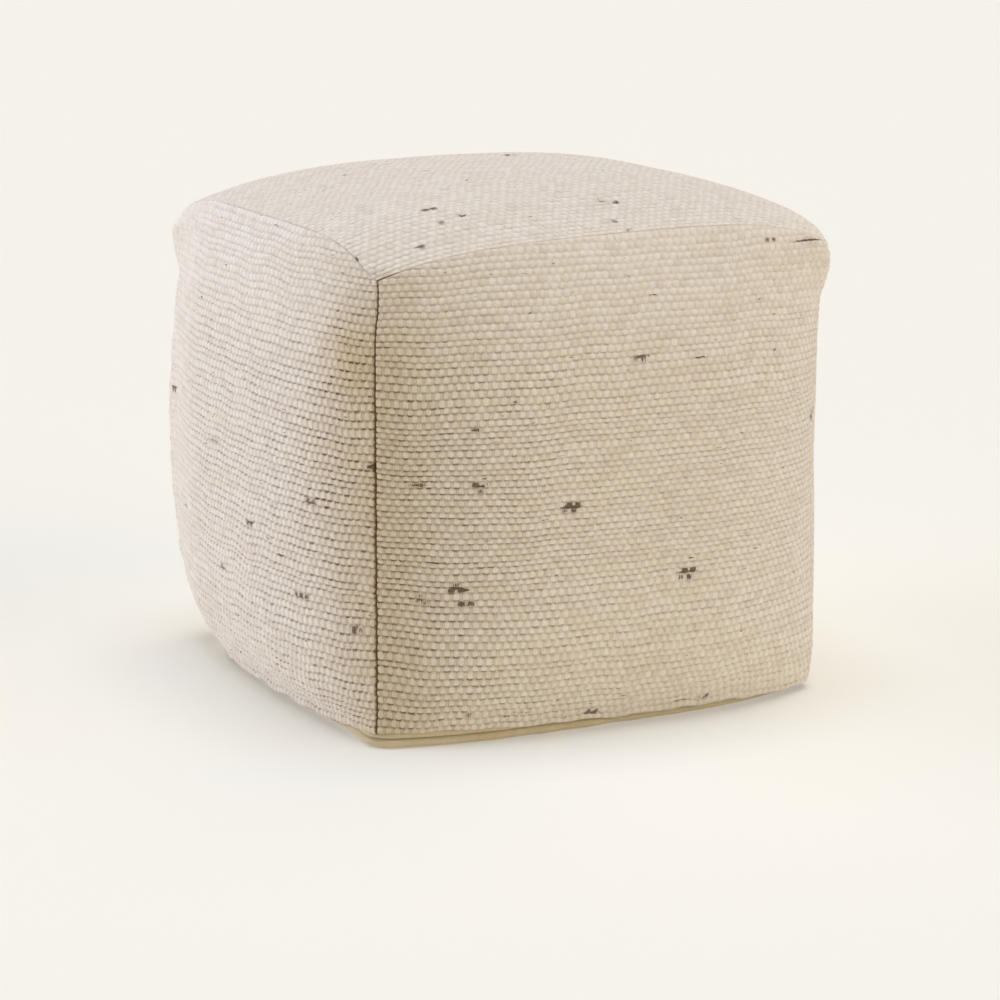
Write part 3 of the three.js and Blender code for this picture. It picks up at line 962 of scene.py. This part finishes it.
# The words for steps of a pattern, each with its node, settings, inputs and output. Every other
# word is an operation of the Math node.
stepWords = {
    "ease": ("MapRange", {"interpolation_type": "SMOOTHSTEP"}, (0, 1, 2, 3, 4), 0),
    "mix": ("Mix", {"data_type": "RGBA"}, (0, 6, 7), 2),
    "times": ("Mix", {"data_type": "RGBA", "blend_type": "MULTIPLY"}, (0, 6, 7), 2),
    "ramp": ("ValToRGB", None, (0,), 0),
    "place": ("CombineXYZ", None, (0, 1), 0),
    "chance": ("TexWhiteNoise", {"noise_dimensions": "2D"}, ("Vector",), "Value"),
    "noise": ("TexNoise", None, ("Vector", "Scale", "Detail", "Roughness"), 0),
}


# Adds a pattern's steps to what is made already. A step is its name, a word and its inputs, each
# a number, a colour or the name of something made before.
def addSteps(tree, made, steps):
    for name, word, *values in steps:
        kind, settings, sockets, output = stepWords.get(word, ("Math", {"operation": word}, (0, 1, 2), 0))
        values = [made[value] if isinstance(value, str) else value for value in values]
        made[name] = addNode(tree, kind, settings, dict(zip(sockets, values))).outputs[output]


# Sets a ramp's stops, each a place with a grey or a colour
def setRamp(node, stops):
    ramp = node.color_ramp
    while len(ramp.elements) < len(stops):
        ramp.elements.new(0.5)
    for element, (place, value) in zip(ramp.elements, stops):
        element.position = place
        element.color = value if isinstance(value, list) else [value, value, value, 1]


woolLook = {
    "beadTones": [(0.12, "#DED5CB"), (0.38, "#E7DDCE"), (0.62, "#EFE8DC"), (0.92, "#E3D5B7")],
    # Also paints shade: beside the front left seam and on the left panel this yellow darkens the wool
    "yellowAndShadeTone": "#E2D4B9",  # multiplies the others, as far as the cloth's yellow goes
    # Painted shade in the grooves, under the beads of the row above
    "groove": "#6A4F2A",
    "upright": "#8C7B50",
    # Painted shade in the seams' gaps
    "seam": "#7A5A2A",
    "fleck": "#33270F",
    "rust": "#6B4420",
    # Noises on the cloth: width and height of a patch, its turn in degrees and its detail. A
    # strand that shows in a bead is half as thick as a patch of the fibre's noise, 0.55 mm.
    "noises": {
        "fibre": (1.1 * mm, 5 * mm, 9, 4.0),
        "patches": (60 * mm, 16 * mm, 0, 3.0),
        "blotch": (5 * mm, 3 * mm, 0, 3.0),
        "stray": (3.5 * mm, 2.2 * mm, 0, 2.0),
    },
    "noiseRoughness": 0.62,
    "bump": 0.22 * mm,
    "raggedness": 0.442,  # how far the groove lines stray, in rows
    "line": 0.76,  # strength of the groove lines
    "smallFlecks": 0.69,  # noise above this is a fleck: higher makes fewer
}

woolPattern = [
    # Where a point lies in its row, 1 in the groove, and in its bead, 1 in the middle of a strip
    ("offBlotch", "SUBTRACT", "blotch", 0.5),
    ("across", "MULTIPLY_ADD", "offBlotch", 0.42, "warp"),
    ("offStray", "SUBTRACT", "stray", 0.5),
    ("level", "MULTIPLY_ADD", "offStray", woolLook["raggedness"], "weft"),
    ("rowPart", "FRACT", "level"),
    ("rowWave", "MULTIPLY_ADD", "rowPart", 2.0, -1.0),
    ("inRow", "ABSOLUTE", "rowWave"),
    ("rowNumber", "FLOOR", "level"),
    ("shifted", "MULTIPLY_ADD", "rowNumber", 0.5, "across"),
    ("beadPart", "FRACT", "shifted"),
    ("beadWave", "MULTIPLY_ADD", "beadPart", 2.0, -1.0),
    ("inBead", "ABSOLUTE", "beadWave"),
    # Painted shadow: the dark in a groove lies under the beads of the row above, which shadow it, and
    # breaks off at their strips
    ("upperHalf", "GREATER_THAN", "rowPart", 0.5),
    ("upperTwice", "MULTIPLY", "upperHalf", 2.0),
    ("turned", "SUBTRACT", 1.0, "upperTwice"),
    ("above", "MULTIPLY_ADD", "inBead", "turned", "upperHalf"),
    ("grooveNumber", "ROUND", "level"),
    ("shiftedAbove", "MULTIPLY_ADD", "grooveNumber", 0.5, "across"),
    ("beadNumber", "FLOOR", "shiftedAbove"),
    ("beadAndGroove", "place", "beadNumber", "grooveNumber"),
    ("luck", "chance", "beadAndGroove"),
    ("underBead", "ease", "above", 0.5, 0.85, 1.0, 0.35),
    ("byLuck", "ease", "luck", 0.1, 0.9, 0.45, 1.15),
    ("byPatch", "ease", "patches", 0.35, 0.65, 0.75, 1.3),
    ("dash", "MULTIPLY", "underBead", "byLuck"),
    ("patchyDash", "MULTIPLY", "dash", "byPatch"),
    ("openDash", "MULTIPLY", "patchyDash", "groove"),
    ("nearGroove", "ease", "inRow", 0.55, 1.0, 0.0, 1.0),
    ("line", "MULTIPLY", "nearGroove", "openDash"),
    # Fine upright lines where the warp shows: the two edges of a sunk strip, and its middle
    ("strip", "ease", "inBead", 0.52, 0.70, 0.0, 1.0),
    ("besideEdge", "SUBTRACT", "inBead", 0.66),
    ("fromEdge", "ABSOLUTE", "besideEdge"),
    ("offEdge", "ease", "fromEdge", 0.01, 0.11, 0.0, 1.0),
    ("threadEdge", "SUBTRACT", 1.0, "offEdge"),
    ("stripMiddle", "ease", "inBead", 0.88, 1.0, 0.0, 1.0),
    ("warpLine", "MAXIMUM", "threadEdge", "stripMiddle"),
    ("openShare", "MINIMUM", "groove", 1.0),
    ("upright", "MULTIPLY", "warpLine", "openShare"),
    # The wool's own tone: the bead's, in longer patches, with darker lines between its strands
    ("tintHalf", "MULTIPLY", "tint", 0.5),
    ("patchHalf", "MULTIPLY", "patches", 0.5),
    ("shade", "ADD", "tintHalf", "patchHalf"),
    ("base", "ramp", "shade"),
    ("strands", "ramp", "fibre"),
    ("fibrous", "times", 1.0, "base", "strands"),
    # Yellower by each panel's own share, and yellower and darker where shade is painted
    ("yellowed", "times", "yellowAndShade", "fibrous", colour(woolLook["yellowAndShadeTone"])),
    ("stripShare", "MULTIPLY", "strip", 0.08),
    ("uprightShare", "MULTIPLY_ADD", "upright", 0.5, "stripShare"),
    ("ribbed", "mix", "uprightShare", "yellowed", colour(woolLook["upright"])),
    ("lineStrength", "MULTIPLY", "line", woolLook["line"]),
    ("lineShare", "MINIMUM", "lineStrength", 1.0),
    ("grooved", "mix", "lineShare", "ribbed", colour(woolLook["groove"])),
    # Painted shade in the seam's gap: beads crowd in over the seam, so it is wide in the grooves and
    # narrow between them
    ("onBead", "SUBTRACT", 1.0, "inRow"),
    ("crowded", "MULTIPLY_ADD", "onBead", -0.34, "seam"),
    ("raggedSeam", "MULTIPLY_ADD", "offStray", 0.8, "crowded"),
    ("seamShare", "ease", "raggedSeam", 0.2, 0.64, 0.0, 0.86),
    ("seamShaded", "mix", "seamShare", "grooved", colour(woolLook["seam"])),
    # Dark fleece: small flecks by chance, and the large ones that the mesh brings
    ("markAcross", "MULTIPLY", "warp", 0.55),
    ("markUp", "MULTIPLY", "weft", 1.7),
    ("markPlace", "place", "markAcross", "markUp"),
    ("marks", "noise", "markPlace", 1.0, 2.5, woolLook["noiseRoughness"]),
    ("small", "ease", "marks", woolLook["smallFlecks"], woolLook["smallFlecks"] + 0.045, 0.0, 0.85),
    ("offFibre", "SUBTRACT", "fibre", 0.5),
    ("brokenFleck", "MULTIPLY_ADD", "offFibre", 0.9, "fleck"),
    ("softFleck", "ease", "brokenFleck", 0.24, 0.55, 0.0, 0.88),
    ("hasFleck", "GREATER_THAN", "fleck", 0.03),
    ("large", "MULTIPLY", "softFleck", "hasFleck"),
    ("rusty", "ease", "blotch", 0.4, 0.7, 0.0, 1.0),
    ("fleckTone", "mix", "rusty", colour(woolLook["fleck"]), colour(woolLook["rust"])),
    ("fleckShare", "MAXIMUM", "small", "large"),
    ("flecked", "mix", "fleckShare", "seamShaded", "fleckTone"),
    # What the bump feels: strands stand up, and grooves and warp lines lie low
    ("raised", "MULTIPLY", "fibre", 0.8),
    ("uprightHalf", "MULTIPLY", "upright", 0.5),
    ("lowered", "MAXIMUM", "line", "uprightHalf"),
    ("height", "SUBTRACT", "raised", "lowered"),
]


# Undyed handwoven wool: matt and fibrous, cream with greyer and yellower beads, a broken olive
# brown line of painted shadow in each groove, painted shade in the seams and beside the front left
# seam, fine upright lines where the warp shows, and dark flecks of fleece
def woolMaterial():
    material, tree = newMaterial("undyedWoolWeave")
    made = {}
    for key in ("warp", "weft", "groove", "tint", "fleck", "seam", "yellowAndShade"):
        made[key] = addNode(tree, "Attribute", {"attribute_name": key}).outputs["Fac"]
    cloth = addNode(tree, "UVMap", {"uv_map": "cloth"}).outputs[0]
    for key, (width, height, angle, detail) in woolLook["noises"].items():
        place = addNode(tree, "Mapping", None, {
            "Vector": cloth, "Scale": (1 / width, 1 / height, 1), "Rotation": (0, 0, math.radians(angle)),
        }).outputs[0]
        made[key] = addNode(tree, "TexNoise", None, {
            "Vector": place, "Scale": 1.0, "Detail": detail, "Roughness": woolLook["noiseRoughness"],
        }).outputs[0]
    addSteps(tree, made, woolPattern)
    setRamp(made["base"].node, [(place, colour(tone)) for place, tone in woolLook["beadTones"]])
    setRamp(made["strands"].node, [(0.3, 0.86), (0.62, 1.0)])
    bump = addNode(tree, "Bump", None, {
        "Strength": 0.8, "Distance": woolLook["bump"], "Height": made["height"],
    }).outputs[0]
    shader = addNode(tree, "BsdfPrincipled", None, {
        "Base Color": made["flecked"], "Roughness": 0.92, "Specular IOR Level": 0.22,
        "Sheen Weight": 0.18, "Sheen Roughness": 0.5, "Normal": bump,
    })
    addNode(tree, "OutputMaterial", None, {"Surface": shader.outputs[0]})
    return material


canvasLook = {
    "thread": "#D6C8A6",
    "between": "#B09E78",
    "threadPitch": 0.9 * mm,  # spacing of the threads of a heavy canvas
    "bump": 0.12 * mm,
}


canvasPattern = [
    ("weft", "MAXIMUM", "X", "Y"),
    ("grain", "MULTIPLY", "weft", "Z"),
    ("grainShare", "MULTIPLY", "grain", 0.5),
    ("wearShare", "MULTIPLY", "wear", 0.6),
    ("shade", "ADD", "grainShare", "wearShare"),
    ("tone", "ramp", "shade"),
]


# Cotton canvas, plain woven and unbleached: khaki, matt, with a fine even grain
def canvasMaterial():
    material, tree = newMaterial("unbleachedCottonCanvas")
    place = addNode(tree, "TexCoord").outputs["Object"]
    made = {}
    for direction in ("X", "Y", "Z"):
        made[direction] = addNode(tree, "TexWave", {"bands_direction": direction}, {
            "Vector": place, "Scale": math.pi / 10 / canvasLook["threadPitch"],
            "Distortion": 0.4, "Detail": 1.0,
        }).outputs[1]
    wear = addNode(tree, "TexNoise", None, {"Vector": place, "Scale": 30.0, "Detail": 5.0})
    made["wear"] = wear.outputs[0]
    addSteps(tree, made, canvasPattern)
    setRamp(made["tone"].node, [(0.1, colour(canvasLook["between"])), (0.7, colour(canvasLook["thread"]))])
    bump = addNode(tree, "Bump", None, {
        "Strength": 0.7, "Distance": canvasLook["bump"], "Height": made["grain"],
    }).outputs[0]
    shader = addNode(tree, "BsdfPrincipled", None, {
        "Base Color": made["tone"], "Roughness": 0.85, "Specular IOR Level": 0.3, "Normal": bump,
    })
    addNode(tree, "OutputMaterial", None, {"Surface": shader.outputs[0]})
    return material


print("materials")
wool = woolMaterial()
cotton = canvasMaterial()

print("cover")
for panel in panels:
    piece, flat = sewnPanel(panel, wool)
    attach(piece, "root")
    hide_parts(panel["name"])

print("canvas")
body = canvasBody(cotton)
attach(body, "root")
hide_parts("filled_body")
band = canvasBand(cotton)
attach(band, "root")
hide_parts("canvas_band")

print("camera, floor and light")
camera = {
    "azimuth": -26.35,  # degrees from the front, towards the left
    "elevation": 11.44,
    "distance": 3.0406,
    "target": (0, 0, 0.1973),
    "lens": 121.16,  # on a 36 mm sensor
    "shift": (0.00381, -0.05033),
}
turn, lift = math.radians(camera["azimuth"]), math.radians(camera["elevation"])
back = Vector((math.sin(turn) * math.cos(lift), -math.cos(turn) * math.cos(lift), math.sin(lift)))
lensData = bpy.data.cameras.new("camera")
lensData.lens = camera["lens"]
lensData.sensor_width = 36
lensData.shift_x, lensData.shift_y = camera["shift"]
lensData.clip_end = 200
eye = bpy.data.objects.new("camera", lensData)
eye.location = Vector(camera["target"]) + back * camera["distance"]
eye.rotation_mode = "QUATERNION"
eye.rotation_quaternion = (-back).to_track_quat("-Z", "Y")
bpy.context.scene.collection.objects.link(eye)
bpy.context.scene.camera = eye

studio = {
    "floorSize": 60,
    "backdrop": "#F7F3EB",
    "paper": "#F7F1E0",  # the floor's own colour
    "glow": "#F5F6F4",  # and that of its even glow
    "floorMatt": 0.72,  # share of the floor that takes light and shadow; the rest glows evenly
    "floorGlow": 0.96,
    "skyline": 9,  # the backdrop stands this many degrees above the horizon
    "skyFade": 14,
    "softness": 40,  # angle that each soft light covers, in degrees
    "lights": [
        {"name": "left", "from": (-0.95, 0.2, 0.3), "strength": 0.84, "colour": "#CDDAFF"},
        {"name": "leftBack", "from": (-0.8, 0.6, 0.15), "strength": 1.51, "colour": "#FFF8FE"},
        {"name": "overhead", "from": (0, 0, 1), "strength": 2.13, "colour": "#E2ECFF"},
        {"name": "overRight", "from": (0.45, 0.3, 0.85), "strength": 0.61, "colour": "#FFE4B1"},
        {"name": "right", "from": (0.85, -0.4, 0.35), "strength": 0.85, "colour": "#BDD4FF"},
        {"name": "rightFront", "from": (0.45, -0.8, 0.4), "strength": 0.9, "colour": "#FFE5B6"},
    ],
}


# Matt backdrop paper: an even pale surface that takes a soft shadow
def floorMaterial():
    material, tree = newMaterial("backdropPaper")
    glow = addNode(tree, "Emission", None, {
        "Color": colour(studio["glow"]), "Strength": studio["floorGlow"],
    }).outputs[0]
    matt = addNode(tree, "BsdfDiffuse", None, {"Color": colour(studio["paper"])}).outputs[0]
    mix = addNode(tree, "MixShader", None, {0: studio["floorMatt"], 1: glow, 2: matt}).outputs[0]
    addNode(tree, "OutputMaterial", None, {"Surface": mix})
    return material


half = studio["floorSize"] / 2
floorCorners = np.array([[-half, -half, 0], [half, -half, 0], [half, half, 0], [-half, half, 0]])
floor = newPiece("floor", floorCorners, np.array([[0, 1, 2, 3]]), floorMaterial())

# The sky is the backdrop's colour just above the horizon and dark higher up
world = bpy.data.worlds.new("studio")
world.use_nodes = True
bpy.context.scene.world = world
sky = world.node_tree
skyWay = addNode(sky, "TexCoord").outputs["Generated"]
skyUp = addNode(sky, "SeparateXYZ", None, {0: skyWay})
skyShare = addNode(sky, "MapRange", None, {
    0: skyUp.outputs[2],
    1: math.sin(math.radians(studio["skyline"])),
    2: math.sin(math.radians(studio["skyFade"])),
    3: 1.0,
    4: 0.0,
})
background = sky.nodes["Background"]
background.inputs["Color"].default_value = colour(studio["backdrop"])
sky.links.new(skyShare.outputs[0], background.inputs["Strength"])

for lamp in studio["lights"]:
    data = bpy.data.lights.new(lamp["name"], "SUN")
    data.angle = math.radians(studio["softness"])
    data.energy = lamp["strength"]
    data.color = colour(lamp["colour"])[:3]
    light = bpy.data.objects.new(lamp["name"], data)
    light.rotation_mode = "QUATERNION"
    light.rotation_quaternion = (-Vector(lamp["from"])).to_track_quat("-Z", "Y")
    bpy.context.scene.collection.objects.link(light)
bpy.context.scene.view_settings.view_transform = "Standard"
